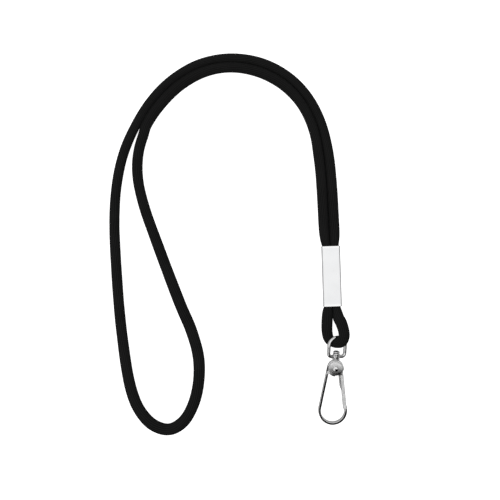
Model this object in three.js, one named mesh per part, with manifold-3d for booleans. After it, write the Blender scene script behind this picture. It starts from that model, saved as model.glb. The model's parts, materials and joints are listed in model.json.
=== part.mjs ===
// Neck lanyard: one length of round cord, crimped into a neck loop and a small eye loop,
// with a swivel eye and a pear-shaped snap hook. Millimetres, +Z up, lying flat on z = 0.
import * as THREE from "three";
import { mergeVertices } from "three/addons/utils/BufferGeometryUtils.js";
import Module from "manifold-3d";

const wasm = await Module();
wasm.setup();

const gap = 0.3; // clearance left between neighbouring pieces
const degree = Math.PI / 180;

// Cord
const cordDiameter = 5.8;
const cordHeight = cordDiameter / 2; // height of the centreline over the table
const cordSides = 10;
const neckLoopSteps = 76;
const eyeLoopSteps = 26;

// Crimp sleeve, folded from one strip around two strands
const sleeve = {
  width: 10.7,
  height: 5.0,
  length: 34.9,
  sheet: 0.5,
  bend: 1.5,
  seam: 0.4,
  centre: [-0.6, 34.3, cordHeight],
  lean: 1.9 * degree,
};
const strandOffset = 2.35;
const strandHalfWidth = 2.2;
const strandHalfHeight = 1.7;

// Clip: its own frame has the gate rivet at the origin, +Y along the swivel stem, +Z out of the face
const clip = { hub: [1.43, -18.63, 4.95], lean: -3.3 * degree, pitch: 5.5 * degree };
const eyeRoll = 20 * degree; // the swivel eye is turned about the stem, left side up

const eye = { centreX: 0.2, halfWidth: 5.1, bar: 1.05, barY: 6.7, arcY: 12.85, corner: 1.9 };
const barrel = { radius: 2.05, bore: 1.3, from: 5.65, to: 8.7 };
const washer = { radius: 2.2, bore: 1.3, from: 5.0, to: 5.35 };
const stud = { radius: 1.0, foot: 3.6, headFrom: 9.0, headRadius: 1.95, headTop: 10.2 };

const hub = { radius: 4.8, half: 1.8, landRadius: 1.8, landY: 4.7, rivetBore: 1.35, studBore: 1.3, studFloor: 3.3 };
const bowl = { centreY: -25, outer: 8.35, strip: 1.5, bevel: 0.45 };
const nose = { rise: 2.2, thickness: 1.1, stepY: -24.4 };
const pocket = { radius: 2.9, floor: -0.8 }; // round pocket for the spring, open to the front
const notches = [[-88 * degree, -41 * degree], [-191 * degree, -144 * degree]]; // the spring legs sweep these

const gate = { ear: 4.1, half: 2.7, inner: 2.1, lean: 9.2 * degree, width: 1.85, web: 0.65, reach: 24.3 };
const thumb = { width: 2.65, from: 11.2, to: 13.2 }; // wider stretch of the gate next to the hub

const rivet = { radius: 1.05, headRadius: 1.6, headFrom: 3.0, rim: 3.3, top: 3.85 };
const spring = { radius: 2.2, wire: 0.25, low: -0.2, high: 1.3, shortLeg: 4.1, longLeg: 6.2 };
const springAngles = { shortLeg: -155 * degree, longLeg: 668 * degree, bend: 15 * degree }; // just over two turns

// Route of the cord's centreline, the neck loop from the sleeve's right mouth round to its left one
const neckRoute = [
  [1.6, 52.3], [1.1, 58.0], [-0.5, 87.5], [-2.2, 104.5], [-5.9, 121.4], [-13.5, 137.3],
  [-25.7, 150.2], [-41.5, 158.3], [-59.0, 161.0], [-76.5, 158.0], [-92.0, 149.4], [-104.5, 137.2],
  [-113.9, 122.5], [-121.2, 106.0], [-125.2, 88.0], [-126.6, 68.0], [-125.9, 46.0], [-122.4, 2.0],
  [-116.8, -32.0], [-111.6, -44.2], [-104.0, -52.2], [-94.9, -54.8], [-87.0, -50.6], [-81.2, -41.2],
  [-77.9, -28.5], [-77.7, -13.5], [-81.7, 2.0], [-88.5, 18.2], [-103.5, 58.0], [-109.6, 75.5],
  [-113.2, 92.0], [-112.7, 106.5], [-108.3, 119.8], [-99.8, 133.4], [-88.4, 144.7], [-74.5, 152.3],
  [-59.0, 155.0], [-43.3, 152.6], [-29.3, 145.4], [-18.5, 133.9], [-11.7, 119.5], [-8.1, 103.6],
  [-6.5, 87.1], [-4.9, 58.0], [-4.3, 52.3],
];

// Eye loop from the sleeve's lower left mouth, under the eye, up through it and back over it
const eyeRoute = [
  [-2.9, 16.2, 2.95], [-3.0, 12.5, 2.95], [-3.3, 6.5, 3.0], [-3.2, 1.5, 3.05], [-1.9, -3.0, 3.1],
  [1.9, -5.3, 5.8], [4.8, -3.9, 9.5], [6.1, -0.2, 10.4], [5.7, 4.1, 8.7], [4.3, 8.6, 5.6],
  [3.2, 12.6, 3.3], [3.05, 16.2, 2.95],
];

const finish = {
  cord: { color: 0x161617, roughness: 0.9, metalness: 0 },
  sleeve: { color: 0xe6e7e8, roughness: 0.35, metalness: 1 },
  chrome: { color: 0xd2d4d6, roughness: 0.15, metalness: 1 },
  spring: { color: 0x9a9da0, roughness: 0.3, metalness: 1 },
};

function piece(name, geometry, look) {
  const mesh = new THREE.Mesh(geometry, new THREE.MeshStandardMaterial(look));
  mesh.name = name;
  return mesh;
}

function toSolid(geometry) {
  const bare = geometry.clone();
  bare.deleteAttribute("normal");
  bare.deleteAttribute("uv");
  const merged = mergeVertices(bare, 1e-4);
  return new wasm.Manifold(new wasm.Mesh({
    numProp: 3,
    vertProperties: new Float32Array(merged.attributes.position.array),
    triVerts: new Uint32Array(merged.index.array),
  }));
}

function toGeometry(solid) {
  const mesh = solid.getMesh();
  const geometry = new THREE.BufferGeometry();
  geometry.setAttribute("position", new THREE.BufferAttribute(mesh.vertProperties, 3));
  geometry.setIndex(new THREE.BufferAttribute(mesh.triVerts, 1));
  geometry.computeVertexNormals();
  return geometry;
}

function roundSection(halfWidth, halfHeight, sides) {
  const shape = new THREE.Shape();
  for (let i = 0; i < sides; i += 1) {
    const angle = (i / sides) * 2 * Math.PI;
    const x = halfWidth * Math.cos(angle);
    const y = halfHeight * Math.sin(angle);
    if (i === 0) shape.moveTo(x, y);
    else shape.lineTo(x, y);
  }
  return shape;
}

function tube(points, radius, sides, steps) {
  const extrudePath = new THREE.CatmullRomCurve3(points, false, "centripetal");
  return new THREE.ExtrudeGeometry(roundSection(radius, radius, sides), { steps, extrudePath });
}

// A plate with its outline in XY, between two heights
function plate(shape, low, high, curveSegments = 12) {
  const geometry = new THREE.ExtrudeGeometry(shape, { depth: high - low, bevelEnabled: false, curveSegments });
  return geometry.translate(0, 0, low);
}

// A solid of revolution about +Y
function turned(profile, segments) {
  return new THREE.LatheGeometry(profile.map(([r, y]) => new THREE.Vector2(r, y)), segments);
}

function rod(radius, from, to, segments = 20) {
  return turned([[0, from], [radius, from], [radius, to], [0, to]], segments);
}

function ring(inner, outer, from, to, segments) {
  return turned([[inner, from], [outer, from], [outer, to], [inner, to], [inner, from]], segments);
}

function alongZ(geometry) {
  return geometry.rotateX(Math.PI / 2);
}

// ---- cord ----

function neckLoop() {
  const points = neckRoute.map(([x, y]) => new THREE.Vector3(x, y, cordHeight));
  return piece("cord_neck_loop", tube(points, cordDiameter / 2, cordSides, neckLoopSteps), finish.cord);
}

function eyeLoop() {
  const points = eyeRoute.map(([x, y, z]) => new THREE.Vector3(x, y, z));
  return piece("cord_eye_loop", tube(points, cordDiameter / 2, cordSides, eyeLoopSteps), finish.cord);
}

// A stretch of cord flattened inside the sleeve
function strand(name, x, from, to) {
  const section = roundSection(strandHalfWidth, strandHalfHeight, 12);
  const geometry = plate(section, from, to).rotateX(-Math.PI / 2).translate(x, 0, 0);
  return piece(name, geometry, finish.cord);
}

// ---- crimp sleeve ----

function sleeveSection() {
  const halfWidth = sleeve.width / 2;
  const halfHeight = sleeve.height / 2;
  const inset = sleeve.sheet;
  const bendX = halfWidth - sleeve.bend;
  const bendY = halfHeight - sleeve.bend;
  const inner = sleeve.bend - inset;
  const half = sleeve.seam / 2;
  const quarter = Math.PI / 2;
  const shape = new THREE.Shape();
  shape.moveTo(half, halfHeight);
  shape.lineTo(half, halfHeight - inset);
  shape.absarc(bendX, bendY, inner, quarter, 0, true);
  shape.absarc(bendX, -bendY, inner, 0, -quarter, true);
  shape.absarc(-bendX, -bendY, inner, -quarter, -2 * quarter, true);
  shape.absarc(-bendX, bendY, inner, 2 * quarter, quarter, true);
  shape.lineTo(-half, halfHeight - inset);
  shape.lineTo(-half, halfHeight);
  shape.absarc(-bendX, bendY, sleeve.bend, quarter, 2 * quarter, false);
  shape.absarc(-bendX, -bendY, sleeve.bend, 2 * quarter, 3 * quarter, false);
  shape.absarc(bendX, -bendY, sleeve.bend, 3 * quarter, 4 * quarter, false);
  shape.absarc(bendX, bendY, sleeve.bend, 0, quarter, false);
  return shape;
}

function crimp() {
  const half = sleeve.length / 2;
  const group = new THREE.Group();
  // the section's +Y, where the seam is, turns to the back of the sleeve
  const shell = plate(sleeveSection(), -half, half, 6).rotateX(-Math.PI / 2);
  group.add(piece("crimp_sleeve", shell, finish.sleeve));
  group.add(strand("cord_through_sleeve", -strandOffset, -half, half));
  group.add(strand("cord_end_from_neck", strandOffset, gap / 2, half));
  group.add(strand("cord_end_from_eye", strandOffset, -half, -gap / 2));
  group.position.set(...sleeve.centre);
  group.rotation.z = sleeve.lean;
  return group;
}

// ---- swivel eye ----

function swivelEye() {
  const { centreX, halfWidth, barY, arcY, corner } = eye;
  const left = centreX - halfWidth;
  const right = centreX + halfWidth;
  const points = [];
  const add = (x, y) => points.push(new THREE.Vector3(x, y, 0));
  const addArc = (x, y, radius, from, to, count) => {
    for (let i = 0; i <= count; i += 1) {
      const angle = from + ((to - from) * i) / count;
      add(x + radius * Math.cos(angle), y + radius * Math.sin(angle));
    }
  };
  const cornerY = barY + corner;
  add(centreX - barrel.radius / 2, barY);
  addArc(left + corner, cornerY, corner, -Math.PI / 2, -Math.PI, 3);
  addArc(centreX, arcY, halfWidth, Math.PI, 0, 10);
  addArc(right - corner, cornerY, corner, 0, -Math.PI / 2, 3);
  add(centreX + barrel.radius / 2, barY);
  const bar = toSolid(tube(points, eye.bar, 12, 52));
  const boss = toSolid(rod(barrel.radius, barrel.from, barrel.to, 24));
  const bore = toSolid(rod(barrel.bore, barrel.from - 2, barrel.to + 2, 20));
  const mesh = piece("swivel_eye", toGeometry(bar.add(boss).subtract(bore)), finish.chrome);
  mesh.rotation.y = eyeRoll;
  return mesh;
}

function swivelStud() {
  const { radius, foot, headFrom, headRadius, headTop } = stud;
  const shoulder = (headFrom + headTop) / 2;
  const profile = [
    [0, foot], [radius, foot], [radius, headFrom], [headRadius, headFrom], [headRadius, shoulder],
    [headRadius * 0.75, headTop - 0.2], [headRadius * 0.35, headTop], [0, headTop],
  ];
  return piece("swivel_stud", turned(profile, 20), finish.chrome);
}

function swivelWasher() {
  return piece("swivel_washer", ring(washer.bore, washer.radius, washer.from, washer.to, 20), finish.chrome);
}

// ---- hook ----

const tangent = Math.asin((bowl.outer - hub.radius) / -bowl.centreY); // lean of the line touching hub and bowl

function hookOutline() {
  const inner = bowl.outer - bowl.strip;
  const cos = Math.cos(tangent);
  const sin = Math.sin(tangent);
  const edge = hub.radius - bowl.strip; // distance of the arm's inner line from the hub's centre
  const drop = Math.sqrt(hub.radius ** 2 - edge ** 2);
  const armX = -edge * cos - drop * sin;
  const armY = edge * sin - drop * cos;
  const armAngle = Math.atan2(armY, armX);
  const noseX = bowl.outer * cos;
  const noseY = bowl.centreY + bowl.outer * sin;
  const stepX = Math.sqrt(inner ** 2 - (nose.stepY - bowl.centreY) ** 2);
  const stepAngle = Math.atan2(nose.stepY - bowl.centreY, stepX);
  const faceX = noseX - nose.thickness;
  const shape = new THREE.Shape();
  shape.moveTo(armX, armY);
  shape.absarc(0, 0, hub.radius, armAngle, Math.PI - tangent, false);
  shape.absarc(0, bowl.centreY, bowl.outer, Math.PI - tangent, 2 * Math.PI + tangent, false);
  shape.lineTo(noseX - nose.rise * sin, noseY + nose.rise * cos);
  shape.lineTo(faceX - nose.rise * sin, noseY + nose.rise * cos);
  shape.lineTo(faceX, nose.stepY);
  shape.absarc(0, bowl.centreY, inner, stepAngle, -Math.PI - tangent, true);
  return shape;
}

// A wedge of the hub's rim between two angles
function sector(inner, outer, from, to) {
  const shape = new THREE.Shape();
  shape.absarc(0, 0, outer, from, to, false);
  shape.absarc(0, 0, inner, to, from, true);
  return shape;
}

function hookBody() {
  const { bevel } = bowl;
  const blank = new THREE.ExtrudeGeometry(hookOutline(), {
    depth: 2 * (hub.half - bevel),
    bevelThickness: bevel,
    bevelSize: bevel,
    bevelOffset: -bevel,
    bevelSegments: 2,
    curveSegments: 20,
  });
  blank.translate(0, 0, bevel - hub.half);
  const above = hub.half + 1;
  let body = toSolid(blank).add(toSolid(rod(hub.landRadius, stud.foot, hub.landY, 20)));
  body = body.subtract(toSolid(rod(hub.studBore, hub.studFloor, hub.landY + 2, 16)));
  body = body.subtract(toSolid(alongZ(rod(hub.rivetBore, -above, above, 16))));
  body = body.subtract(toSolid(alongZ(rod(pocket.radius, pocket.floor, above, 24))));
  for (const [from, to] of notches) {
    const cut = plate(sector(pocket.radius - 0.4, hub.radius + 1, from, to), pocket.floor, above, 4);
    body = body.subtract(toSolid(cut));
  }
  return piece("hook_body", toGeometry(body), finish.chrome);
}

// ---- gate ----

// Point on the gate, measured down its outer edge and inward from it
function onGate(along, inward) {
  const cos = Math.cos(gate.lean);
  const sin = Math.sin(gate.lean);
  const x = (gate.ear - inward) * cos + along * sin;
  const y = (gate.ear - inward) * sin - along * cos;
  return [x, y];
}

function gateOutline() {
  const offset = gate.ear - thumb.width;
  const alongEar = Math.sqrt(gate.ear ** 2 - offset ** 2);
  const [earX, earY] = onGate(alongEar, thumb.width);
  const tip = 0.5;
  const shape = new THREE.Shape();
  shape.moveTo(...onGate(0, 0));
  shape.absarc(0, 0, gate.ear, gate.lean, Math.atan2(earY, earX) + 2 * Math.PI, false);
  shape.lineTo(...onGate(thumb.from, thumb.width));
  shape.lineTo(...onGate(thumb.to, gate.width));
  shape.lineTo(...onGate(gate.reach, gate.width));
  shape.lineTo(...onGate(gate.reach, tip));
  shape.lineTo(...onGate(gate.reach - tip, 0));
  return shape;
}

// The inside of the gate's channel, open to the outer side
function channelOutline() {
  const beyond = -2;
  const start = 2;
  const shape = new THREE.Shape();
  shape.moveTo(...onGate(start, beyond));
  shape.lineTo(...onGate(start, thumb.width - gate.web));
  shape.lineTo(...onGate(thumb.from, thumb.width - gate.web));
  shape.lineTo(...onGate(thumb.to, gate.width - gate.web));
  shape.lineTo(...onGate(gate.reach + 1, gate.width - gate.web));
  shape.lineTo(...onGate(gate.reach + 1, beyond));
  return shape;
}

function gateLever() {
  let lever = toSolid(plate(gateOutline(), -gate.half, gate.half, 16));
  const hubSpace = alongZ(rod(hub.radius + gap, -gate.inner, gate.inner, 32));
  lever = lever.subtract(toSolid(hubSpace));
  lever = lever.subtract(toSolid(plate(channelOutline(), -gate.inner, gate.inner)));
  lever = lever.subtract(toSolid(alongZ(rod(hub.rivetBore, -gate.half - 1, gate.half + 1, 16))));
  return piece("gate", toGeometry(lever), finish.chrome);
}

function gateRivet() {
  const { radius, headRadius, headFrom, rim, top } = rivet;
  const crown = headRadius * 0.6;
  const profile = [
    [0, -top], [crown, -top + 0.1], [headRadius, -rim], [headRadius, -headFrom], [radius, -headFrom],
    [radius, headFrom], [headRadius, headFrom], [headRadius, rim], [crown, top - 0.1], [0, top],
  ];
  return piece("gate_rivet", alongZ(turned(profile, 18)), finish.chrome);
}

// Torsion spring round the rivet: the long leg lies in the gate's channel, the short one in a notch
function gateSpring() {
  const { radius, wire, low, high } = spring;
  const from = springAngles.shortLeg + springAngles.bend;
  const to = springAngles.longLeg - springAngles.bend;
  const corner = 3.0; // where a leg leaves the coil
  const count = 28;
  const points = [];
  const add = (r, angle, z) => points.push(new THREE.Vector3(r * Math.cos(angle), r * Math.sin(angle), z));
  add(spring.shortLeg, springAngles.shortLeg, low);
  add(corner, springAngles.shortLeg, low);
  for (let i = 0; i <= count; i += 1) {
    add(radius, from + ((to - from) * i) / count, low + ((high - low) * i) / count);
  }
  add(corner, springAngles.longLeg, high);
  add(spring.longLeg, springAngles.longLeg, high);
  return piece("gate_spring", tube(points, wire, 6, 80), finish.spring);
}

// ---- assembly ----

const lanyard = new THREE.Group();
const hardware = new THREE.Group();
hardware.position.set(...clip.hub);
hardware.rotation.set(clip.pitch, 0, clip.lean, "ZXY");
hardware.add(swivelEye(), swivelStud(), swivelWasher(), hookBody(), gateLever(), gateRivet(), gateSpring());
lanyard.add(neckLoop(), eyeLoop(), crimp(), hardware);

export default lanyard;
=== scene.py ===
import json
from math import atan2, cos, pi, radians, sin, sqrt

import bmesh
import bpy
import numpy as np
from mathutils import Matrix, Vector


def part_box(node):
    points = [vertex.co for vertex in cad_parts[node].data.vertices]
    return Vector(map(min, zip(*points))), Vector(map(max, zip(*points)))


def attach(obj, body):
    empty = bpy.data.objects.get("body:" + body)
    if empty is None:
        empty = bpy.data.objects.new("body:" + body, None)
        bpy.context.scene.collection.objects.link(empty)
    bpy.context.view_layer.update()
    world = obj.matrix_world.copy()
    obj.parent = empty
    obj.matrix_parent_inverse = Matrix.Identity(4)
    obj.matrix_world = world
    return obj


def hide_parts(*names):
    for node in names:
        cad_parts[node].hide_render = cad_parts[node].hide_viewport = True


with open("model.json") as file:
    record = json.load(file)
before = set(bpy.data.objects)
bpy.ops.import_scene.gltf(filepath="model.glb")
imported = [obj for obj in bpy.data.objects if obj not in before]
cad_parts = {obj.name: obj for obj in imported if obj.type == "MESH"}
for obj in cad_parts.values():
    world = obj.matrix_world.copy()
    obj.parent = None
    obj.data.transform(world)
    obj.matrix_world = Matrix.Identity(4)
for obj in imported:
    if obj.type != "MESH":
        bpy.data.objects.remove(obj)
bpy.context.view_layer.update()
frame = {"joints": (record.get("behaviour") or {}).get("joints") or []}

mm = 0.001  # the metal pieces are described in millimetres; the cord, the camera and the studio in metres
scene = bpy.context.scene
scene.view_settings.view_transform = "Standard"


class Shade:  # one socket of a node tree, so that shader maths reads as arithmetic
    def __init__(self, tree, socket=None):
        self.tree = tree
        self.socket = socket

    def node(self, kind, settings, sockets, out=0):
        made = self.tree.nodes.new(kind)
        for name, value in settings.items():
            setattr(made, name, value)
        for name, value in sockets.items():
            if isinstance(value, Shade):
                self.tree.links.new(value.socket, made.inputs[name])
            else:
                made.inputs[name].default_value = value
        return Shade(self.tree, made.outputs[out] if made.outputs else None)

    def other(self, out):  # another output of the same node
        return Shade(self.tree, self.socket.node.outputs[out])

    def maths(self, operation, first, second=0.0):
        return self.node("ShaderNodeMath", {"operation": operation}, {0: first, 1: second})

    def __add__(self, other):
        return self.maths("ADD", self, other)

    def __radd__(self, other):
        return self.maths("ADD", other, self)

    def __sub__(self, other):
        return self.maths("SUBTRACT", self, other)

    def __rsub__(self, other):
        return self.maths("SUBTRACT", other, self)

    def __mul__(self, other):
        return self.maths("MULTIPLY", self, other)

    def __rmul__(self, other):
        return self.maths("MULTIPLY", other, self)

    def __pow__(self, other):
        return self.maths("POWER", self, other)

    def __rpow__(self, other):
        return self.maths("POWER", other, self)

    def wave(self):  # 0 to 1 and back, once for each whole number
        return 0.5 + 0.5 * self.maths("COSINE", self * (2 * pi))

    def step(self, low, high):  # smooth 0 to 1 between two values
        sockets = {"Value": self, "From Min": low, "From Max": high}
        return self.node("ShaderNodeMapRange", {"interpolation_type": "SMOOTHSTEP"}, sockets)

    def mix(self, first, second):  # two colours, by this mask
        sockets = {0: self, 6: first, 7: second}  # 6 and 7 are the colour sockets
        return self.node("ShaderNodeMix", {"data_type": "RGBA"}, sockets, 2)


def grey(value, warm=0.0):
    return (value * (1 + warm), value, value * (1 - warm), 1)


def newMaterial(name):
    material = bpy.data.materials.new(name)
    material.use_nodes = True
    tree = material.node_tree
    tree.nodes.clear()
    return material, Shade(tree)


def finishMaterial(shade, sockets):
    surface = shade.node("ShaderNodeBsdfPrincipled", {}, sockets)
    shade.node("ShaderNodeOutputMaterial", {}, {"Surface": surface})


def noise(shade, where, size, detail=2.0, roughness=0.5):
    sockets = {"Vector": where, "Scale": 1 / (size * mm), "Detail": detail, "Roughness": roughness}
    return shade.node("ShaderNodeTexNoise", {}, sockets)


def bump(shade, height, depth, strength=1.0):
    sockets = {"Height": height, "Distance": depth * mm, "Strength": strength}
    return shade.node("ShaderNodeBump", {}, sockets)


def arc(x, y, radius, start, end, count):
    angles = np.linspace(start, end, count + 1)
    return [(x + radius * cos(a), y + radius * sin(a)) for a in angles]


def newPiece(name, vertices, faces):
    mesh = bpy.data.meshes.new(name)
    mesh.from_pydata([tuple(v) for v in vertices], [], faces)
    mesh.validate()
    piece = bpy.data.objects.new(name, mesh)
    scene.collection.objects.link(piece)
    return piece


def ringFaces(rings, around):  # quads between rings of vertices, and a face at each end
    faces = []
    for i in range(rings - 1):
        low = i * around
        high = low + around
        for j in range(around):
            k = (j + 1) % around
            faces.append((low + j, low + k, high + k, high + j))
    faces.append(tuple(range(around))[::-1])
    faces.append(tuple(range((rings - 1) * around, rings * around)))
    return faces


def fixNormals(piece):  # doubled vertices joined and faces turned outwards
    bm = bmesh.new()
    bm.from_mesh(piece.data)
    bmesh.ops.remove_doubles(bm, verts=bm.verts, dist=1e-4)
    bmesh.ops.recalc_face_normals(bm, faces=bm.faces)
    bm.to_mesh(piece.data)
    bm.free()
    return piece


def plate(outline, low, high):  # a flat solid from an outline in x and y
    vertices = [(x, y, z) for z in (low, high) for x, y in outline]
    return fixNormals(newPiece("plate", vertices, ringFaces(2, len(outline))))


def turned(name, profile, axis="Y", segments=64):  # profile of (radius, place along the axis)
    vertices = []
    for i in range(segments):
        c = cos(2 * pi * i / segments)
        s = sin(2 * pi * i / segments)
        for radius, along in profile:
            if axis == "Y":
                vertices.append((radius * c, along, radius * s))
            else:
                vertices.append((radius * c, radius * s, along))
    points = len(profile)
    faces = []
    for i in range(segments):
        a = i * points
        b = (i + 1) % segments * points
        faces += [(a + j, a + j + 1, b + j + 1, b + j) for j in range(points - 1)]
    return fixNormals(newPiece(name, vertices, faces))


def rod(radius, start, end, axis="Y"):
    return turned("rod", [(0, start), (radius, start), (radius, end), (0, end)], axis, 48)


def rounded(profile, radius, steps=4):  # a profile with its inner corners turned into small arcs
    most = 0.45  # of the stretch on each side of a corner
    out = [profile[0]]
    for before, corner, after in zip(profile, profile[1:], profile[2:]):
        here = Vector(corner)
        back = Vector(before) - here
        on = Vector(after) - here
        reach = min(radius, back.length * most, on.length * most)
        start = here + back.normalized() * reach
        end = here + on.normalized() * reach
        for i in range(steps + 1):
            t = i / steps
            point = start * (1 - t) ** 2 + here * (2 * t * (1 - t)) + end * t ** 2
            out.append(tuple(point))
    out.append(profile[-1])
    return out


def catmullRom(points, spacing):  # centripetal, as the CAD route is
    points = np.array(points, float)
    padded = np.vstack([2 * points[0] - points[1], points, 2 * points[-1] - points[-2]])
    out = []
    for i in range(1, len(padded) - 2):
        p = padded[i - 1:i + 3]
        t = np.concatenate([[0], np.cumsum(np.sqrt(np.linalg.norm(np.diff(p, axis=0), axis=1)))])
        count = max(2, int(np.linalg.norm(p[2] - p[1]) / spacing * 2))
        for u in np.linspace(t[1], t[2], count, endpoint=False):
            a = [((t[j + 1] - u) * p[j] + (u - t[j]) * p[j + 1]) / (t[j + 1] - t[j]) for j in range(3)]
            b = [((t[j + 2] - u) * a[j] + (u - t[j]) * a[j + 1]) / (t[j + 2] - t[j]) for j in range(2)]
            out.append(((t[2] - u) * b[0] + (u - t[1]) * b[1]) / (t[2] - t[1]))
    out.append(points[-1])
    return np.array(out)


def runLength(line):  # how far along the line each point is
    return np.concatenate([[0], np.cumsum(np.linalg.norm(np.diff(line, axis=0), axis=1))])


def resampled(rows, spacing):  # rows that start with x y z, evenly spaced along their line
    at = runLength(rows[:, :3])
    wanted = np.linspace(0, at[-1], int(round(at[-1] / spacing)) + 1)
    return np.stack([np.interp(wanted, at, column) for column in rows.T], axis=1)


def eased(share):  # 0 to 1 with a soft start and end
    return share * share * (3 - 2 * share)


def framesAlong(line):  # side and up at each point, turning as little as they can
    tangents = np.gradient(line, axis=0)
    tangents /= np.linalg.norm(tangents, axis=1)[:, None]
    ups = np.zeros_like(line)
    current = np.array((0.0, 0.0, 1.0))
    for i, tangent in enumerate(tangents):
        current = current - tangent * (current @ tangent)
        current = current / np.linalg.norm(current)
        ups[i] = current
    return np.cross(tangents, ups), ups


def sweep(name, line, radius, around):  # a round bar or wire along a line
    sides, ups = framesAlong(line)
    angles = np.arange(around) * 2 * pi / around
    across = np.cos(angles)[None, :, None] * sides[:, None] * radius
    above = np.sin(angles)[None, :, None] * ups[:, None] * radius
    vertices = (line[:, None] + across + above).reshape(-1, 3)
    return fixNormals(newPiece(name, vertices, ringFaces(len(line), around)))


def smoothShade(piece, sharp=None):
    piece.data.shade_smooth()
    if sharp is not None:
        piece.data.set_sharp_from_angle(angle=radians(sharp))
    return piece


def bake(piece):  # the piece with its modifiers applied
    graph = bpy.context.evaluated_depsgraph_get()
    mesh = bpy.data.meshes.new_from_object(piece.evaluated_get(graph))
    piece.modifiers.clear()
    piece.data = mesh
    mesh.name = piece.name
    return piece


def castPiece(name, solids, cuts, casting):  # union of solids, less the cuts, with soft cast corners
    piece = solids[0]
    piece.name = name
    for operation, tools in (("UNION", solids[1:]), ("DIFFERENCE", cuts)):
        for tool in tools:
            boolean = piece.modifiers.new("boolean", "BOOLEAN")
            boolean.operation = operation
            boolean.solver = "EXACT"
            boolean.object = tool
    bake(piece)
    for tool in [*solids[1:], *cuts]:
        bpy.data.objects.remove(tool)
    remesh = piece.modifiers.new("remesh", "REMESH")
    remesh.mode = "VOXEL"
    remesh.voxel_size = casting["voxel"]
    smooth = piece.modifiers.new("smooth", "SMOOTH")
    smooth.factor = 0.5
    smooth.iterations = casting["smoothing"]
    bake(piece)
    return smoothShade(piece)


def bevelled(piece, width, angle):  # edges sharper than the angle, rounded
    bevel = piece.modifiers.new("bevel", "BEVEL")
    bevel.width = width
    bevel.segments = 3
    bevel.limit_method = "ANGLE"
    bevel.angle_limit = radians(angle)
    bake(piece)
    return smoothShade(piece, 35)


def moveVertices(piece, change):
    flat = np.zeros(len(piece.data.vertices) * 3)
    piece.data.vertices.foreach_get("co", flat)
    piece.data.vertices.foreach_set("co", change(flat.reshape(-1, 3)).ravel())
    piece.data.update()


def place(piece, matrix, body, slot, material, *nodes):  # a finished piece, put where its CAD nodes are
    piece.data.transform(matrix)
    piece.data.materials.clear()
    piece.data.materials.append(material)
    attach(piece, body)
    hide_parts(*nodes)
    return piece


view = {
    "centre": (-0.0479, 0.0495),
    "height": 0.553,
    "field": 0.29,  # side of the square that is seen
    "plane": 0.003,  # at this height above the floor
    "sensor": 36,
}

cameraData = bpy.data.cameras.new("camera")
cameraData.sensor_width = view["sensor"]
cameraData.lens = view["sensor"] * (view["height"] - view["plane"]) / view["field"]
camera = bpy.data.objects.new("camera", cameraData)
camera.location = (*view["centre"], view["height"])
scene.collection.objects.link(camera)
scene.camera = camera
print("camera", round(cameraData.lens, 2), "mm lens")

# the clip's and the sleeve's own axes come from the CAD
joints = {joint["name"]: joint for joint in frame["joints"]}


def clipMatrix(roll=0.0):  # millimetres about the gate rivet, +Y up the swivel stem, +Z out of the face
    origin = Vector(joints["gate_hinge"]["pos_m"])
    stem = Vector(joints["hook_swivel"]["axis"]).normalized()
    face = -Vector(joints["gate_hinge"]["axis"]).normalized()
    turn = Matrix((stem.cross(face), stem, face)).transposed()
    turn = turn @ Matrix.Rotation(roll, 3, "Y")
    return Matrix.Translation(origin) @ turn.to_4x4() @ Matrix.Scale(mm, 4)


sleeve = {
    "lean": radians(1.9),
    "sheet": 0.5,
    "bend": 0.9,
    "seam": 0.4,
    "band": 1.3,  # band at each end, where the end flares and a highlight is painted into the colour
    "flare": 0.1,
    "lip": 0.09,  # rounding of the cut edges
    "strandOffset": 2.35,
    "dull": grey(0.91, -0.007),
    "bright": grey(0.95, -0.007),
    # the brighter colour of the end bands is a painted highlight
    "endHighlightColour": grey(0.985, -0.004),
    "roughness": 0.24,
}


def sleeveSize():  # centre in metres, width, length and height in millimetres, from the leaning box
    low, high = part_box("crimp_sleeve")
    size = (high - low) / mm
    c = cos(sleeve["lean"])
    s = sin(sleeve["lean"])
    width = (size.x * c - size.y * s) / (c * c - s * s)
    length = (size.y * c - size.x * s) / (c * c - s * s)
    return (low + high) / 2, width, length, size.z


sleeveCentre, sleeveWidth, sleeveLength, sleeveHeight = sleeveSize()
sleeveTurn = Matrix.Rotation(sleeve["lean"], 4, "Z")
sleeveMatrix = Matrix.Translation(sleeveCentre) @ sleeveTurn @ Matrix.Scale(mm, 4)


eye = {
    "centreX": 0.2,
    "halfWidth": 5.1,
    "bar": 1.05,
    "barY": 6.7,
    "arcY": 12.85,
    "corner": 1.9,
    "barrel": 2.05,
    "barrelRound": 0.35,
    "bore": 1.3,
    "barrelFrom": 5.65,
    "barrelTo": 8.7,
    "roll": radians(20),
    "casting": {"voxel": 0.11, "smoothing": 7},
}


def eyeLine():  # the middle of the bar, from one side of the barrel round to the other
    left = eye["centreX"] - eye["halfWidth"]
    right = eye["centreX"] + eye["halfWidth"]
    corner = eye["corner"]
    cornerY = eye["barY"] + corner
    points = [(eye["centreX"] - 1, eye["barY"])]
    points += arc(left + corner, cornerY, corner, -pi / 2, -pi, 6)
    points += arc(eye["centreX"], eye["arcY"], eye["halfWidth"], pi, 0, 20)
    points += arc(right - corner, cornerY, corner, 0, -pi / 2, 6)
    points += [(eye["centreX"] + 1, eye["barY"])]
    return resampled(np.array([(x, y, 0) for x, y in points]), 0.3)


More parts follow.
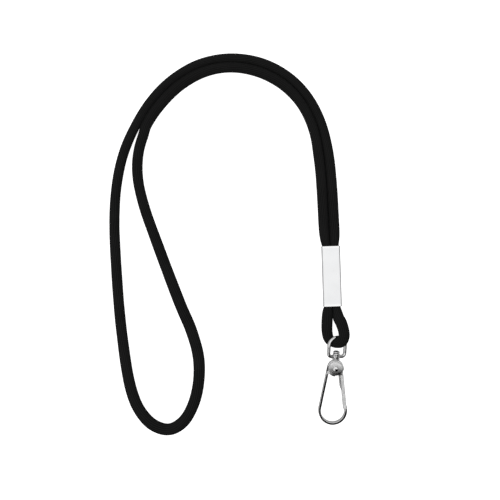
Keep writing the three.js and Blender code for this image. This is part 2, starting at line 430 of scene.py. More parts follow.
cord = {
    "diameter": 0.0058,
    "spacing": 0.001,
    "ribs": 18,
    "perRib": 5,
    "ribDepth": 0.00008,
    "twist": 2.4,  # turns of the ribs over the whole length
    "stitch": 0.0011,
    "endGap": 0.00015,
    "strand": (0.0048, 0.0037),  # width and height in the sleeve
    "mouthHeight": 0.0044,
    "mouthBlend": 0.004,
    "loopHeight": 0.006,
    "mostHeight": 0.0056,
    "fill": 0.97,  # area of a flattened section, of a round one
    "softness": (26, 3),  # smoothing passes above and below the sleeve's middle
    "lastSoftness": (4, 2),
    "eyeFrom": -0.02,  # the eye loop is to the right of this x
    "drawn": (-0.0003, 0.0012, 0.0002),  # how far the eye loop is drawn up round the bar
    "drawnReach": 0.009,
    "neighbour": 0.02,  # run between two places before they count as two strands
    "pairApart": (0.00655, 0.0082),  # strands nearer than this are a pair, above and below
    "pairBlend": (0.0004, 0.0016),
    "press": 0.0006,
    "giveFrom": 0.066,  # nearer the sleeve than this y, it is the earlier strand that gives
    "giveBlend": 0.008,
    "dentReach": 0.006,
    "dentSteps": 30,
    "dentStep": 0.97,
    "dentGap": 0.00006,
    "heldPast": 0.0002,
    "sleeveGap": 0.00003,
}

# the neck loop from the sleeve's right mouth round to its left one: x, y, width
neckRoute = [
    (0.0016, 0.0523, 0.0056), (0.0011, 0.058, 0.0063), (-0.0005, 0.0875, 0.0063),
    (-0.0022, 0.1045, 0.0061), (-0.0059, 0.1214, 0.0057), (-0.0135, 0.1373, 0.0056),
    (-0.0257, 0.1502, 0.0056), (-0.0415, 0.1583, 0.0057), (-0.059, 0.161, 0.0054),
    (-0.0765, 0.158, 0.0053), (-0.092, 0.1494, 0.0054), (-0.1045, 0.1372, 0.0055),
    (-0.1139, 0.1225, 0.0056), (-0.1212, 0.106, 0.0059), (-0.1252, 0.088, 0.0059),
    (-0.1266, 0.068, 0.006), (-0.1259, 0.046, 0.0062), (-0.1224, 0.002, 0.0064),
    (-0.1168, -0.032, 0.0068), (-0.1116, -0.0442, 0.007), (-0.104, -0.0522, 0.0071),
    (-0.0949, -0.0548, 0.0071), (-0.087, -0.0506, 0.007), (-0.0812, -0.0412, 0.0068),
    (-0.0779, -0.0285, 0.0068), (-0.0777, -0.0135, 0.0068), (-0.0817, 0.002, 0.0068),
    (-0.0885, 0.0182, 0.0068), (-0.1035, 0.058, 0.0064), (-0.1096, 0.0755, 0.0063),
    (-0.1132, 0.092, 0.0063), (-0.1127, 0.1065, 0.0064), (-0.1083, 0.1198, 0.0063),
    (-0.0998, 0.1334, 0.0067), (-0.0884, 0.1447, 0.0067), (-0.0745, 0.1523, 0.0066),
    (-0.059, 0.155, 0.0064), (-0.0433, 0.1526, 0.0066), (-0.0293, 0.1454, 0.0067),
    (-0.0185, 0.1339, 0.0064), (-0.0117, 0.1195, 0.0064), (-0.0081, 0.1036, 0.0071),
    (-0.0065, 0.0871, 0.0073), (-0.0049, 0.058, 0.0071), (-0.0043, 0.0523, 0.0059),
]

# the eye loop from the sleeve's lower left mouth, under the eye, up through it and back over it:
# x, y, z, width
eyeRoute = [
    (-0.0029, 0.0162, 0.00295, 0.0058), (-0.003, 0.0125, 0.00295, 0.0069),
    (-0.0033, 0.0065, 0.003, 0.0073), (-0.0032, 0.0015, 0.00305, 0.007),
    (-0.0019, -0.003, 0.0031, 0.0062), (0.0019, -0.0053, 0.0058, 0.0062),
    (0.0048, -0.0039, 0.0095, 0.0062), (0.0061, -0.0002, 0.0104, 0.0065),
    (0.0057, 0.0041, 0.0087, 0.0066), (0.0043, 0.0086, 0.0056, 0.007),
    (0.0032, 0.0126, 0.0033, 0.0062), (0.00305, 0.0162, 0.00295, 0.0051),
]


def inSleeve(side, start, end):  # points of a strand in the sleeve, x y z width height
    rows = []
    for y in np.linspace(start, end, 7):
        point = sleeveMatrix @ Vector((side * sleeve["strandOffset"], y, 0))
        rows.append((*point, *cord["strand"]))
    return rows


def cordRows():  # x y z width height all along the cord, between its two cut ends
    half = sleeveLength / 2
    cut = cord["endGap"] / mm
    neckLoop = []
    for x, y, width in neckRoute:
        height = min(cord["mostHeight"], cord["diameter"] ** 2 / width * cord["fill"])
        neckLoop.append((x, y, height / 2, width, height))
    eyeLoop = [(*row, cord["loopHeight"]) for row in eyeRoute]
    for i in (0, -1):  # flat where it enters the sleeve
        x, y, width = neckRoute[i]
        neckLoop[i] = (x, y, sleeveCentre.z, width, cord["mouthHeight"])
        eyeLoop[i] = (*eyeRoute[i], cord["mouthHeight"])
    lower = inSleeve(-1, half, -half)
    return inSleeve(1, cut, half) + neckLoop + lower + eyeLoop + inSleeve(1, -half, -cut)


def softenedLoops(rows, beyond, upper, passes):  # kinks smoothed out, above and below the sleeve's middle
    for weights, count in ((beyond * upper, passes[0]), (beyond * ~upper, passes[1])):
        for _ in range(count):
            middle = (rows[:-2] + 2 * rows[1:-1] + rows[2:]) / 4
            rows[1:-1] += weights[1:-1, None] * (middle - rows[1:-1])
    return rows


def cordLine():  # the finished rows, each one's place in the sleeve's axes, and the run along the cord
    rows = resampled(catmullRom(cordRows(), cord["spacing"]), cord["spacing"])
    half = sleeveLength / 2 * mm
    blend = cord["mouthBlend"]
    local = (rows[:, :3] - np.array(sleeveCentre)) @ np.array(sleeveTurn.to_3x3())
    beyond = np.clip((np.abs(local[:, 1]) - half + blend / 2) / blend, 0, 1)  # 0 in the sleeve
    upper = local[:, 1] > 0  # above the sleeve's middle
    rows = softenedLoops(rows, beyond, upper, cord["softness"])
    at = runLength(rows[:, :3])
    rows = drawnUp(rows, at)
    rows = pulledTogether(rows, at, beyond, upper)
    rows = softenedLoops(rows, beyond, upper, cord["lastSoftness"])
    return rows, local, runLength(rows[:, :3])


def drawnUp(rows, at):  # the eye loop's bend, drawn tight against the bar
    bend = at[np.where(rows[:, 0] > cord["eyeFrom"], rows[:, 1], 1).argmin()]
    share = eased(np.clip(1 - np.abs(at - bend) / cord["drawnReach"], 0, 1))
    rows[:, :3] += share[:, None] * np.array(cord["drawn"])
    return rows


def pulledTogether(rows, at, beyond, upper):  # strands side by side touch, and one of them gives
    line = rows[:, :3]
    apart = np.linalg.norm(line[:, None] - line[None], axis=2)
    apart[np.abs(at[:, None] - at[None]) < cord["neighbour"]] = 1
    nearest = apart.argmin(axis=1)
    distance = apart.min(axis=1)
    pairApart = np.where(upper, *cord["pairApart"])
    pairBlend = np.where(upper, *cord["pairBlend"])
    share = eased(np.clip((pairApart - distance) / pairBlend, 0, 1))
    touching = (rows[:, 3] + rows[nearest, 3]) / 2 - cord["press"]
    later = (at > at[nearest]).astype(float)
    swapped = np.clip((cord["giveFrom"] - line[:, 1]) / cord["giveBlend"], 0, 1) * upper
    gives = later + swapped * (1 - 2 * later)
    move = np.maximum(distance - touching, 0) * share * gives * beyond
    rows[:, :3] = line + (line[nearest] - line) * (move / distance)[:, None]
    return rows


def dentedByBar(vertices, line):  # the soft cord gives way round the eye's bar
    matrix = clipMatrix(eye["roll"])
    bar = np.array([matrix @ Vector(point) for point in eyeLine()])
    near = np.linalg.norm(line[:, None] - bar[None], axis=2).min(axis=1) < cord["dentReach"]
    centres = line[near][:, None]
    spokes = vertices[near] - centres
    share = np.ones(spokes.shape[:2])
    for _ in range(cord["dentSteps"]):
        points = centres + spokes * share[..., None]
        gap = np.full(share.shape, 1.0)
        for middle in bar:
            gap = np.minimum(gap, np.linalg.norm(points - middle, axis=2))
        share[gap < eye["bar"] * mm + cord["dentGap"]] *= cord["dentStep"]
    vertices[near] = centres + spokes * share[..., None]
    return vertices


def heldBySleeve(vertices):  # and stays within the sheet of the sleeve
    turn = np.array(sleeveTurn.to_3x3())
    local = (vertices - np.array(sleeveCentre)) @ turn
    held = np.abs(local[:, 1]) < sleeveLength / 2 * mm + cord["heldPast"]
    held &= np.abs(local[:, 0]) < sleeveWidth * mm  # the neck loop's far side stays free
    for k, across in ((0, sleeveWidth), (2, sleeveHeight)):
        inner = (across / 2 - sleeve["sheet"]) * mm - cord["sleeveGap"]
        local[held, k] = np.clip(local[held, k], -inner, inner)
    return local @ turn.T + np.array(sleeveCentre)


def cordVertices(rows, local, at, around):  # a ring of ribbed section at each row
    line = rows[:, :3]
    sides, ups = framesAlong(line)
    sides, ups = turnedPair(sides, ups, straightenRoll(local, sides, ups, at))
    turn = cord["twist"] * 2 * pi * at / at[-1]
    angles = np.arange(around)[None, :] * 2 * pi / around + turn[:, None]
    relief = cord["ribDepth"] * np.cos(np.arange(around) * 2 * pi / cord["perRib"])[None, :]
    halfWidth = rows[:, 3, None] / 2 + relief - cord["ribDepth"]
    halfHeight = rows[:, 4, None] / 2 + relief - cord["ribDepth"]
    across = (halfWidth * np.cos(angles))[..., None] * sides[:, None]
    above = (halfHeight * np.sin(angles))[..., None] * ups[:, None]
    vertices = dentedByBar(line[:, None] + across + above, line)
    vertices = heldBySleeve(vertices.reshape(-1, 3))
    vertices[:, 2] = np.maximum(vertices[:, 2], 0)  # flat where it lies on the ground
    return vertices


def addKnitMap(piece, at, around):  # ribs across and stitches along, as texture coordinates
    layer = piece.data.uv_layers.new(name="knit")
    loops = np.zeros(len(piece.data.loops), int)
    piece.data.loops.foreach_get("vertex_index", loops)
    ring = loops // around
    column = (loops % around).astype(float)
    quads = (len(at) - 1) * around * 4
    firstOf = np.arange(quads) // 4 % around  # the column that each quad starts at
    wraps = (column[:quads] == 0) & (firstOf == around - 1)
    column[:quads][wraps] = around
    coordinates = np.stack([column / cord["perRib"], at[ring] / cord["stitch"]], axis=1)
    layer.data.foreach_set("uv", coordinates.astype(np.float32).ravel())


def makeCord(material):
    rows, local, at = cordLine()
    around = cord["ribs"] * cord["perRib"]
    piece = newPiece("lanyard_cord", cordVertices(rows, local, at, around), ringFaces(len(rows), around))
    addKnitMap(piece, at, around)
    smoothShade(piece)
    place(piece, Matrix.Identity(4), "root", "cord", material, "cord_neck_loop", "cord_eye_loop",
          "cord_through_sleeve", "cord_end_from_neck", "cord_end_from_eye")


def straightenRoll(local, sides, ups, at):  # the turn that levels the section again after the eye loop
    last = ups[-1]
    plumb = np.array((0.0, 0.0, 1.0))
    across = np.cross(np.cross(sides[-1], last), plumb)
    error = atan2(float(last @ across), float(last @ plumb))
    inLoop = at[local[:, 1] < -sleeveLength / 2 * mm]
    return error * eased(np.clip((at - inLoop[0]) / (inLoop[-1] - inLoop[0]), 0, 1))


def turnedPair(sides, ups, roll):
    c = np.cos(roll)[:, None]
    s = np.sin(roll)[:, None]
    return sides * c - ups * s, ups * c + sides * s


knit = {
    # the hollows between ribs and stitches get a far darker colour: painted shade
    "paintedGrooveShade": grey(0.0006),
    "crest": grey(0.0112),
    "patch": grey(0.0125),
    "roughness": 0.78,
    "specular": 0.2,
    "sheen": 0.02,
    "relief": 0.12,
}


def knitMaterial():
    material, shade = newMaterial("blackKnit")
    uv = shade.node("ShaderNodeUVMap", {"uv_map": "knit"}, {})
    around = shade.node("ShaderNodeSeparateXYZ", {}, {"Vector": uv})
    along = around.other(1)
    where = shade.node("ShaderNodeTexCoord", {}, {}, 3)
    rib = around.wave()
    fraction = shade.maths("FRACT", around + 0.5)
    slant = shade.maths("ABSOLUTE", fraction - 0.5)
    stitch = (along + slant * 1.1).wave() ** 0.7
    fibre = noise(shade, where, 0.12, 3)
    patch = noise(shade, where, 9, 2)
    height = rib * 0.55 + stitch * rib * 0.3 + fibre * 0.25
    # 0 in the hollows between ribs and stitches, where shade is painted darker, 1 on the crests
    crest = (rib * 0.75 + stitch * 0.25).step(0.05, 0.95)
    colour = crest.mix(knit["paintedGrooveShade"], knit["crest"])
    colour = (patch.step(0.35, 0.7) * 0.25).mix(colour, knit["patch"])
    finishMaterial(shade, {
        "Base Color": colour,
        "Roughness": knit["roughness"] + fibre * 0.18,
        "Specular IOR Level": knit["specular"],
        "Sheen Weight": knit["sheen"],
        "Sheen Roughness": 0.5,
        "Normal": bump(shade, height, knit["relief"], 0.8),
    })
    return material


makeCord(knitMaterial())


def sleeveLoop(grow):  # outer line then inner line of the folded strip, its seam at the back
    halfWidth = sleeveWidth / 2 + grow
    halfHeight = sleeveHeight / 2 + grow
    sheet = sleeve["sheet"]
    bend = sleeve["bend"] + grow
    inner = bend - sheet
    x = halfWidth - bend
    z = halfHeight - bend
    seam = sleeve["seam"] / 2
    corners = [(x, -z), (x, z), (-x, z), (-x, -z)]
    outer = [(seam, -halfHeight)]
    for k, (cornerX, cornerZ) in enumerate(corners):
        outer += arc(cornerX, cornerZ, bend, (k - 1) * pi / 2, k * pi / 2, 8)
    outer += [(-seam, -halfHeight)]
    inside = [(-seam, -halfHeight + sheet)]
    for k, (cornerX, cornerZ) in reversed(list(enumerate(corners))):
        inside += arc(cornerX, cornerZ, inner, k * pi / 2, (k - 1) * pi / 2, 8)
    inside += [(seam, -halfHeight + sheet)]
    return outer + inside


def makeSleeve(material):
    half = sleeveLength / 2
    band = sleeve["band"]
    stations = [(0, 1.0)]  # run from the end, and share of the flare there
    stations += [(band * t, 1 - t) for t in (0.1, 0.25, 0.5, 0.75, 1.0)]
    stations += [(half * t, 0) for t in (0.15, 0.3, 0.5, 0.75, 1.0)]
    stations += [(2 * half - along, flare) for along, flare in stations[-2::-1]]
    vertices = []
    for along, flare in stations:
        for x, z in sleeveLoop(sleeve["flare"] * flare):
            vertices.append((x, along - half, z))
    faces = ringFaces(len(stations), len(sleeveLoop(0)))
    piece = bevelled(fixNormals(newPiece("crimp_sleeve_shell", vertices, faces)), sleeve["lip"], 60)
    # marks the end bands, where a highlight is painted into the colour
    ends = piece.data.attributes.new("paintedEndHighlight", "FLOAT", "POINT")
    for i, vertex in enumerate(piece.data.vertices):
        fromEnd = half - abs(vertex.co.y)
        ends.data[i].value = 1 if fromEnd < band * 0.99 else 0  # just short of the last ring of the band
    place(piece, sleeveMatrix, "root", "sleeve", material, "crimp_sleeve")
    print("sleeve", len(piece.data.vertices))


def sleeveMaterial():
    material, shade = newMaterial("satinNickel")
    where = shade.node("ShaderNodeTexCoord", {}, {}, 3)
    stretch = {"Vector": where, "Scale": (1, 0.04, 1), "Rotation": (0, 0, sleeve["lean"])}
    along = shade.node("ShaderNodeMapping", {}, stretch)
    brushed = noise(shade, along, 0.16, 3)
    cloud = noise(shade, where, 7, 2)
    # the end bands get a painted highlight in their colour, and a lower roughness
    band = shade.node("ShaderNodeAttribute", {"attribute_name": "paintedEndHighlight"}, {}, "Fac")
    tone = (cloud * 0.6 + brushed * 0.4).step(0.3, 0.7)
    finishMaterial(shade, {
        "Base Color": band.mix(tone.mix(sleeve["dull"], sleeve["bright"]), sleeve["endHighlightColour"]),
        "Metallic": 1.0,
        "Roughness": sleeve["roughness"] + brushed * 0.12 - band * 0.1,
        "Normal": bump(shade, brushed, 0.01, 0.25),
    })
    return material


makeSleeve(sleeveMaterial())


# the plating of the eye, stud, washer, hook, gate and rivet
finishes = {
    "polished": {"dark": 0.68, "light": 0.8, "roughness": 0.06, "mottle": 0.07, "grain": 0.02},
    "satin": {"dark": 0.6, "light": 0.82, "roughness": 0.16, "mottle": 0.14, "grain": 0.035},
    "pit": 0.4,
    "worn": 0.88,  # the edges
}


def platedMaterial(name, finish):
    material, shade = newMaterial(name)
    where = shade.node("ShaderNodeTexCoord", {}, {}, 3)
    cloud = noise(shade, where, 1.6, 3)
    grain = noise(shade, where, 0.25, 3, 0.6)
    pits = grain.step(0.62, 0.75)
    geometry = shade.node("ShaderNodeNewGeometry", {}, {}, "Pointiness")
    worn = geometry.step(0.51, 0.56)
    colour = cloud.step(0.35, 0.7).mix(grey(finish["dark"]), grey(finish["light"]))
    colour = (pits * 0.35).mix(colour, grey(finishes["pit"]))
    colour = (worn * 0.6).mix(colour, grey(finishes["worn"]))
    finishMaterial(shade, {
        "Base Color": colour,
        "Metallic": 1.0,
        "Roughness": finish["roughness"] + cloud * finish["mottle"] + pits * 0.14,
        "Normal": bump(shade, cloud * 0.7 + grain * 0.3, finish["grain"], 0.35),
    })
    return material


polished = platedMaterial("polishedPlating", finishes["polished"])
satin = platedMaterial("satinPlating", finishes["satin"])

toolPast = 1  # how far a cutting tool runs past the metal


def makeEye():
    low = eye["barrelFrom"]
    high = eye["barrelTo"]
    radius = eye["barrel"]
    ring = sweep("ring", eyeLine(), eye["bar"], 32)
    profile = [(0, low), (radius, low), (radius, high), (0, high)]
    barrel = turned("barrel", rounded(profile, eye["barrelRound"]))
    bore = rod(eye["bore"], low - toolPast, high + toolPast)
    piece = castPiece("eye_ring", [ring, barrel], [bore], eye["casting"])
    return place(piece, clipMatrix(eye["roll"]), "eye", "plated", polished, "swivel_eye")


stud = {
    "radius": 1.0,
    "foot": 3.6,
    "headFrom": 9.0,
    "headRadius": 1.95,
    "shoulder": 9.45,
    "chamferFrom": 9.95,
    "headTop": 10.2,
}
washer = {"radius": 2.2, "bore": 1.3, "from": 5.0, "to": 5.35}


def makeStud():
    radius = stud["radius"]
    head = stud["headRadius"]
    low = stud["headFrom"]
    top = stud["headTop"]
    profile = [(0, stud["foot"]), (radius, stud["foot"]), (radius, low), (head, low)]
    profile += [(head, stud["shoulder"]), (head * 0.8, stud["chamferFrom"]), (head * 0.4, top), (0, top)]
    piece = smoothShade(turned("swivel_stud_head", rounded(profile, 0.2)), 40)
    return place(piece, clipMatrix(), "hook", "plated", polished, "swivel_stud")


def makeWasher():
    low = washer["from"]
    high = washer["to"]
    radius = washer["radius"]
    bore = washer["bore"]
    middle = (bore + radius) / 2  # the closed profile starts on a flat face
    profile = [(middle, low), (radius, low), (radius, high), (bore, high), (bore, low), (middle, low)]
    piece = smoothShade(turned("swivel_washer_ring", rounded(profile, 0.08, 3)), 40)
    return place(piece, clipMatrix(), "hook", "plated", polished, "swivel_washer")


hub = {
    "radius": 4.8,
    "half": 1.8,
    "landRadius": 1.8,
    "landY": 4.7,
    "rivetBore": 1.35,
    "studBore": 1.3,
    "studFloor": 3.3,
    "round": 0.3,
    "casting": {"voxel": 0.12, "smoothing": 6},
}
bowl = {"centreY": -25, "outer": 8.35, "strip": 1.5}
nose = {"rise": 2.2, "thickness": 1.1, "stepY": -24.4}
pocket = {"radius": 2.9, "floor": -0.8, "overlap": 0.4, "notches": [(-88, -41), (-191, -144)]}
widening = bowl["outer"] - hub["radius"]
tangent = atan2(widening, sqrt(bowl["centreY"] ** 2 - widening ** 2))  # lean of the arms


def hookOutline():  # hub, left arm, bowl and nose, as one closed line
    outer = bowl["outer"]
    inner = outer - bowl["strip"]
    c = cos(tangent)
    s = sin(tangent)
    edge = hub["radius"] - bowl["strip"]
    drop = sqrt(hub["radius"] ** 2 - edge ** 2)
    armAngle = atan2(edge * s - drop * c, -edge * c - drop * s)
    noseX = outer * c
    noseY = bowl["centreY"] + outer * s
    faceX = noseX - nose["thickness"]
    rise = nose["rise"]
    stepUp = nose["stepY"] - bowl["centreY"]
    stepAngle = atan2(stepUp, sqrt(inner ** 2 - stepUp ** 2))
    line = arc(0, 0, hub["radius"], armAngle, pi - tangent, 60)
    line += arc(0, bowl["centreY"], outer, pi - tangent, 2 * pi + tangent, 72)
    topY = noseY + rise * c
    line += [(noseX - rise * s, topY), (faceX - rise * s, topY), (faceX, nose["stepY"])]
    line += arc(0, bowl["centreY"], inner, stepAngle, -pi - tangent, 72)
    return line


def insideBy(points, outline):  # how far each point is inside the outline, 0 outside
    start = np.array(outline)
    run = np.roll(start, -1, axis=0) - start
    nearest = np.full(len(points), 1e9)
    crossings = np.zeros(len(points), int)
    for (x, y), (dx, dy) in zip(start, run):
        fromX = points[:, 0] - x
        fromY = points[:, 1] - y
        t = np.clip((fromX * dx + fromY * dy) / max(dx * dx + dy * dy, 1e-12), 0, 1)
        nearest = np.minimum(nearest, np.hypot(fromX - t * dx, fromY - t * dy))
        spans = (fromY < 0) != (fromY < dy)
        if dy != 0:
            crossings += spans & (fromX < fromY * dx / dy)
    return np.where(crossings % 2 == 1, nearest, 0)


def roundedOver(points, outline, half, radius):  # the long edges rolled over to a round of this radius
    inside = np.minimum(insideBy(points, outline), radius)
    rolled = half - radius + np.sqrt(radius ** 2 - (radius - inside) ** 2)
    points[:, 2] *= rolled / half
    return points


def sector(inner, outer, start, end):
    return arc(0, 0, outer, start, end, 8) + arc(0, 0, inner, end, start, 8)


def makeHook():
    half = hub["half"]
    above = half + toolPast
    body = plate(hookOutline(), -half, half)
    land = rod(hub["landRadius"], stud["foot"], hub["landY"])
    cuts = [
        rod(hub["studBore"], hub["studFloor"], hub["landY"] + toolPast),
        rod(hub["rivetBore"], -above, above, "Z"),
        rod(pocket["radius"], pocket["floor"], above, "Z"),
    ]
    for start, end in pocket["notches"]:
        inner = pocket["radius"] - pocket["overlap"]
        wedge = sector(inner, hub["radius"] + toolPast, radians(start), radians(end))
        cuts.append(plate(wedge, pocket["floor"], above))
    piece = castPiece("hook_casting", [body, land], cuts, hub["casting"])
    moveVertices(piece, lambda points: roundedOver(points, hookOutline(), half, hub["round"]))
    return place(piece, clipMatrix(), "hook", "plated", polished, "hook_body")


gate = {
    "ear": 4.1,
    "half": 2.7,
    "inner": 2.1,
    "lean": radians(9.2),
    "width": 1.85,
    "web": 0.65,
    "reach": 24.3,
    "tip": 0.5,
    "thumbWidth": 2.65,
    "thumbFrom": 11.2,
    "thumbTo": 13.2,
    "hubGap": 0.3,
    "channelFrom": 2,
    "dome": 0.22,
    "slope": 0.16,
    "slopeFrom": 2.5,
    "slopeBlend": 2,
    "faceBlend": 0.2,
    "casting": {"voxel": 0.1, "smoothing": 7},
}


def onGate(along, inward):  # a point of the arm, so far from the rivet and so deep from its outer face
    c = cos(gate["lean"])
    s = sin(gate["lean"])
    return (gate["ear"] - inward) * c + along * s, (gate["ear"] - inward) * s - along * c


def gateOutline():
    ear = gate["ear"]
    thumb = gate["thumbWidth"]
    width = gate["width"]
    reach = gate["reach"]
    tip = gate["tip"]
    earX, earY = onGate(sqrt(ear ** 2 - (ear - thumb) ** 2), thumb)
    line = arc(0, 0, ear, gate["lean"], atan2(earY, earX) + 2 * pi, 64)
    line += [onGate(gate["thumbFrom"], thumb), onGate(gate["thumbTo"], width)]
    line += [onGate(reach, width), onGate(reach, tip), onGate(reach - tip, 0)]
    return line


def channelOutline():  # the hollow of the arm, open at its outer face
    thumb = gate["thumbWidth"] - gate["web"]
    width = gate["width"] - gate["web"]
    near = gate["channelFrom"]
    far = gate["reach"] + toolPast
    return [onGate(near, -toolPast), onGate(near, thumb), onGate(gate["thumbFrom"], thumb),
            onGate(gate["thumbTo"], width), onGate(far, width), onGate(far, -toolPast)]


def makeGate():
    half = gate["half"]
    inner = gate["inner"]
    room = hub["radius"] + gate["hubGap"]
    above = half + toolPast
    body = plate(gateOutline(), -half, half)
    cuts = [
        turned("cut", [(0, -inner), (room, -inner), (room, inner), (0, inner)], "Z", 96),
        plate(channelOutline(), -inner, inner),
        rod(hub["rivetBore"], -above, above, "Z"),
    ]
    piece = castPiece("gate_lever", [body], cuts, gate["casting"])
    moveVertices(piece, crowned)
    return place(piece, clipMatrix(), "gate", "plated", satin, "gate")


def crowned(points):  # domed ears, and flange faces that slope down towards the inner side
    x, y, z = points.T
    c = cos(gate["lean"])
    s = sin(gate["lean"])
    radius = np.hypot(x, y)
    along = x * s - y * c
    inward = gate["ear"] - (x * c + y * s)
    blend = gate["faceBlend"]
    dome = gate["dome"] * np.clip(1 - (radius / gate["ear"]) ** 2, 0, 1)
    onArm = np.clip((along - gate["slopeFrom"]) / gate["slopeBlend"], 0, 1)
    slope = gate["slope"] * (1 - 2 * np.clip(inward / gate["width"], 0, 1)) * onArm
    outside = np.clip((np.abs(z) - gate["inner"] - blend) / blend, 0, 1)
    points[:, 2] += np.sign(z) * (dome + slope) * outside
    return points


rivet = {"radius": 1.05, "headRadius": 1.6, "headFrom": 3.0, "rim": 3.3, "top": 3.85}


def makeRivet():
    head = rivet["headRadius"]
    rim = rivet["rim"]
    top = rivet["top"]
    upper = [(rivet["radius"], rivet["headFrom"]), (head, rivet["headFrom"]), (head, rim)]
    upper += [(head * cos(a), rim + (top - rim) * sin(a)) for a in (0.4, 0.8, 1.2)]
    upper += [(0, top)]
    profile = [(radius, -z) for radius, z in reversed(upper)] + upper
    piece = smoothShade(turned("gate_rivet_pin", rounded(profile, 0.12, 3), "Z"), 40)
    return place(piece, clipMatrix(), "hook", "plated", polished, "gate_rivet")


spring = {
    "radius": 2.2,
    "wire": 0.25,
    "low": -0.2,
    "high": 1.3,
    "shortLeg": 4.1,
    "longLeg": 6.2,
    "shortAngle": -155,
    "longAngle": 668,
    "bend": 15,  # degrees between a leg and the coil
    "corner": 3.0,
    "dark": grey(0.5),
    "light": grey(0.62),
    "roughness": 0.22,
}


def wireMaterial():
    material, shade = newMaterial("springSteel")
    where = shade.node("ShaderNodeTexCoord", {}, {}, 3)
    drawn = noise(shade, where, 0.2, 2)
    finishMaterial(shade, {
        "Base Color": drawn.mix(spring["dark"], spring["light"]),
        "Metallic": 1.0,
        "Roughness": spring["roughness"] + drawn * 0.15,
        "Normal": bump(shade, drawn, 0.01, 0.4),
    })
    return material


def makeSpring():
    low = spring["low"]
    high = spring["high"]
    short = spring["shortAngle"]
    long = spring["longAngle"]
    start = short + spring["bend"]
    end = long - spring["bend"]
    points = [(spring["shortLeg"], short, low), (spring["corner"], short, low)]
    for t in np.linspace(0, 1, 29):
        points.append((spring["radius"], start + (end - start) * t, low + (high - low) * t))
    points += [(spring["corner"], long, high), (spring["longLeg"], long, high)]
    places = [(r * cos(radians(a)), r * sin(radians(a)), z) for r, a, z in points]
    line = resampled(catmullRom(places, 0.1), 0.2)
    piece = smoothShade(sweep("gate_spring_coil", line, spring["wire"], 12), 50)
    return place(piece, clipMatrix(), "gate", "spring_wire", wireMaterial(), "gate_spring")


for make in (makeEye, makeStud, makeWasher, makeHook, makeGate, makeRivet, makeSpring):
    made = make()
    print(made.name, len(made.data.vertices))


studio = {
    "floor": 8,
    "floorDrop": 0.0002,
    "glow": 0.95,
    "floorSeen": 0.4,  # how bright the floor is in the metal
    "darkSeen": 0.02,
    "darkFloor": -0.0535,  # nearer than this y it is dark there
    "overheadFrom": (-0.75, -0.24),
    "overheadTo": (0.42, 0.75),
    "sideFrom": (-1.0, -0.9),
    "sideTo": (-0.11, -0.2),
    "front": [(-0.1, -0.178), (0.15, -0.218)],  # the near edge of the overhead light, which leans
    "right": 0.3,  # grey of the right side
    "lightHeight": 0.62,
    "radiance": 0.685,
    "room": 1.5,  # half the side of the room that the cards make
    "wallFrom": 0.05,  # lower edge of the near and the right wall
    "world": 0.3,
    "horizon": 0.75,  # the pale room at the left and behind
}


def emission(name, value):
    material, shade = newMaterial(name)
    glow = shade.node("ShaderNodeEmission", {}, {"Color": grey(value), "Strength": 1.0})
    shade.node("ShaderNodeOutputMaterial", {}, {"Surface": glow})
    return material


def floorMaterial():
    material, shade = newMaterial("paleFloor")
    finishMaterial(shade, {
        "Base Color": grey(0.9),
        "Roughness": 0.9,
        "Specular IOR Level": 0.0,
        "Emission Color": grey(1.0),
        "Emission Strength": studio["glow"],
    })
    return material


def sheetAt(name, corners, material):
    piece = newPiece(name, corners, [tuple(range(len(corners)))])
    piece.data.materials.append(material)
    return piece


def level(left, near, right, far, z):  # corners of a level sheet
    return [(left, near, z), (right, near, z), (right, far, z), (left, far, z)]


def upright(start, end, low, high):  # corners of a wall between two places on the floor
    return [(*start, low), (*end, low), (*end, high), (*start, high)]


def glossOnly(card):  # seen in reflections and nowhere else
    card.visible_camera = False
    card.visible_diffuse = False
    card.visible_shadow = False
    card.visible_transmission = False


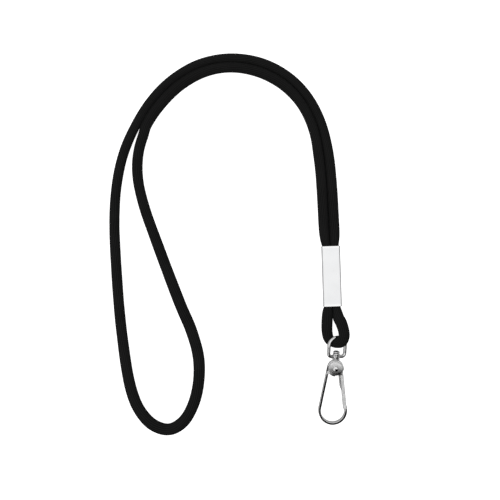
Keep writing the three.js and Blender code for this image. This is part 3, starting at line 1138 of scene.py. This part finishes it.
def softbox(name, low, high):
    light = bpy.data.lights.new(name, "AREA")
    light.shape = "RECTANGLE"
    light.size = high[0] - low[0]
    light.size_y = high[1] - low[1]
    light.energy = studio["radiance"] * pi * light.size * light.size_y
    lamp = bpy.data.objects.new(name, light)
    lamp.location = ((low[0] + high[0]) / 2, (low[1] + high[1]) / 2, studio["lightHeight"])
    scene.collection.objects.link(lamp)


def makeFloor():
    far = studio["floor"]
    floor = sheetAt("floor", level(-far, -far, far, far, 0), floorMaterial())
    floor.location.z = -studio["floorDrop"]
    floor.visible_diffuse = False  # the light comes from above only, so round sides stay dark
    floor.visible_glossy = False


def makeCards():
    far = studio["room"]
    high = studio["lightHeight"]
    shade = high - 0.01  # just under the lamps, so that these cards cover them
    ground = -2 * studio["floorDrop"]
    left, side = studio["sideTo"]
    right = studio["overheadTo"][0]
    (x0, y0), (x1, y1) = studio["front"]
    flag = studio["darkFloor"]
    low = studio["wallFrom"]
    front = [(left, y0), (x0, y0), (x1, y1), (far, y1), (far, -far), (left, -far)]
    cards = [
        ([(x, y, shade) for x, y in front], 0.0),
        (level(-far, y0, left, side, shade), 0.0),
        (level(right, y1, far, far, high), studio["right"]),
        (upright((-far, -far), (far, -far), low, high), 0.0),
        (upright((far, -far), (far, far), low, high), studio["right"]),
        (upright((-far, -far), (-far, far), 0.0, high), studio["horizon"]),
        (upright((-far, far), (far, far), 0.0, high), studio["horizon"]),
        (level(-far, flag, far, far, ground), studio["floorSeen"]),
        (level(-far, -far, far, flag, ground), studio["darkSeen"]),
    ]
    for i, (corners, value) in enumerate(cards):
        glossOnly(sheetAt(f"card{i}", corners, emission(f"cardGrey{i}", value)))
    under = sheetAt("underCard", level(-far, -far, far, far, -0.01), emission("blackCard", 0.0))
    under.visible_camera = False  # it only keeps the world's light from below off the cord
    under.visible_glossy = False
    print("cards", len(cards))


def makeWorld():
    world = bpy.data.worlds.new("world")
    world.use_nodes = True
    world.node_tree.nodes.clear()
    shade = Shade(world.node_tree)
    sky = shade.node("ShaderNodeBackground", {}, {"Color": grey(1.0), "Strength": studio["world"]})
    shade.node("ShaderNodeOutputWorld", {}, {"Surface": sky})
    scene.world = world


makeFloor()
softbox("overhead", studio["overheadFrom"], studio["overheadTo"])
softbox("side", studio["sideFrom"], studio["sideTo"])
makeCards()
makeWorld()
